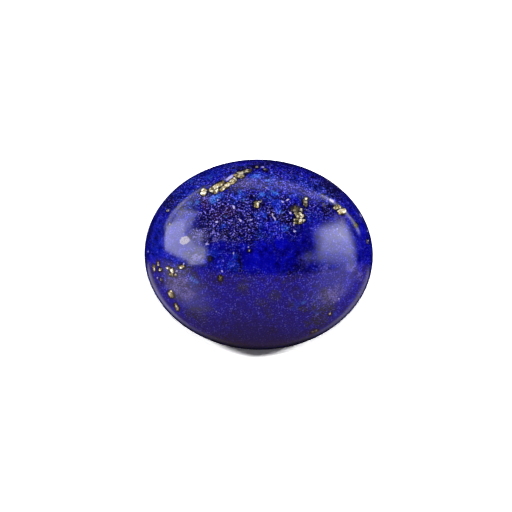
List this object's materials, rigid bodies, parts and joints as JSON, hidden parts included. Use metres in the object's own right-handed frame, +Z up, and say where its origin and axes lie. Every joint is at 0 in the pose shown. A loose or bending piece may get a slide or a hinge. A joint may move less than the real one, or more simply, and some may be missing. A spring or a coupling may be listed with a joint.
{
  "type": "lapis lazuli cabochon",
  "caption": "Polished oval lapis lazuli cabochon: a high smooth dome of deep blue stone with gold pyrite flecks, on a bevelled flat back.",
  "frame": {"origin": "middle of the flat back that the stone rests on", "axes": "+Z up through the top of the dome, +X along the oval's length, +Y across its width"},
  "size_m": [0.012, 0.01, 0.0047],
  "materials": {
    "lapis": "high polish on the dome, fine ground on the back; ultramarine blue mottled with azure, violet and near-black grains, gold pyrite flecks and a small white calcite spot"
  },
  "bodies": {
    "root": {"cabochon": "lapis"}
  },
  "joints": []
}
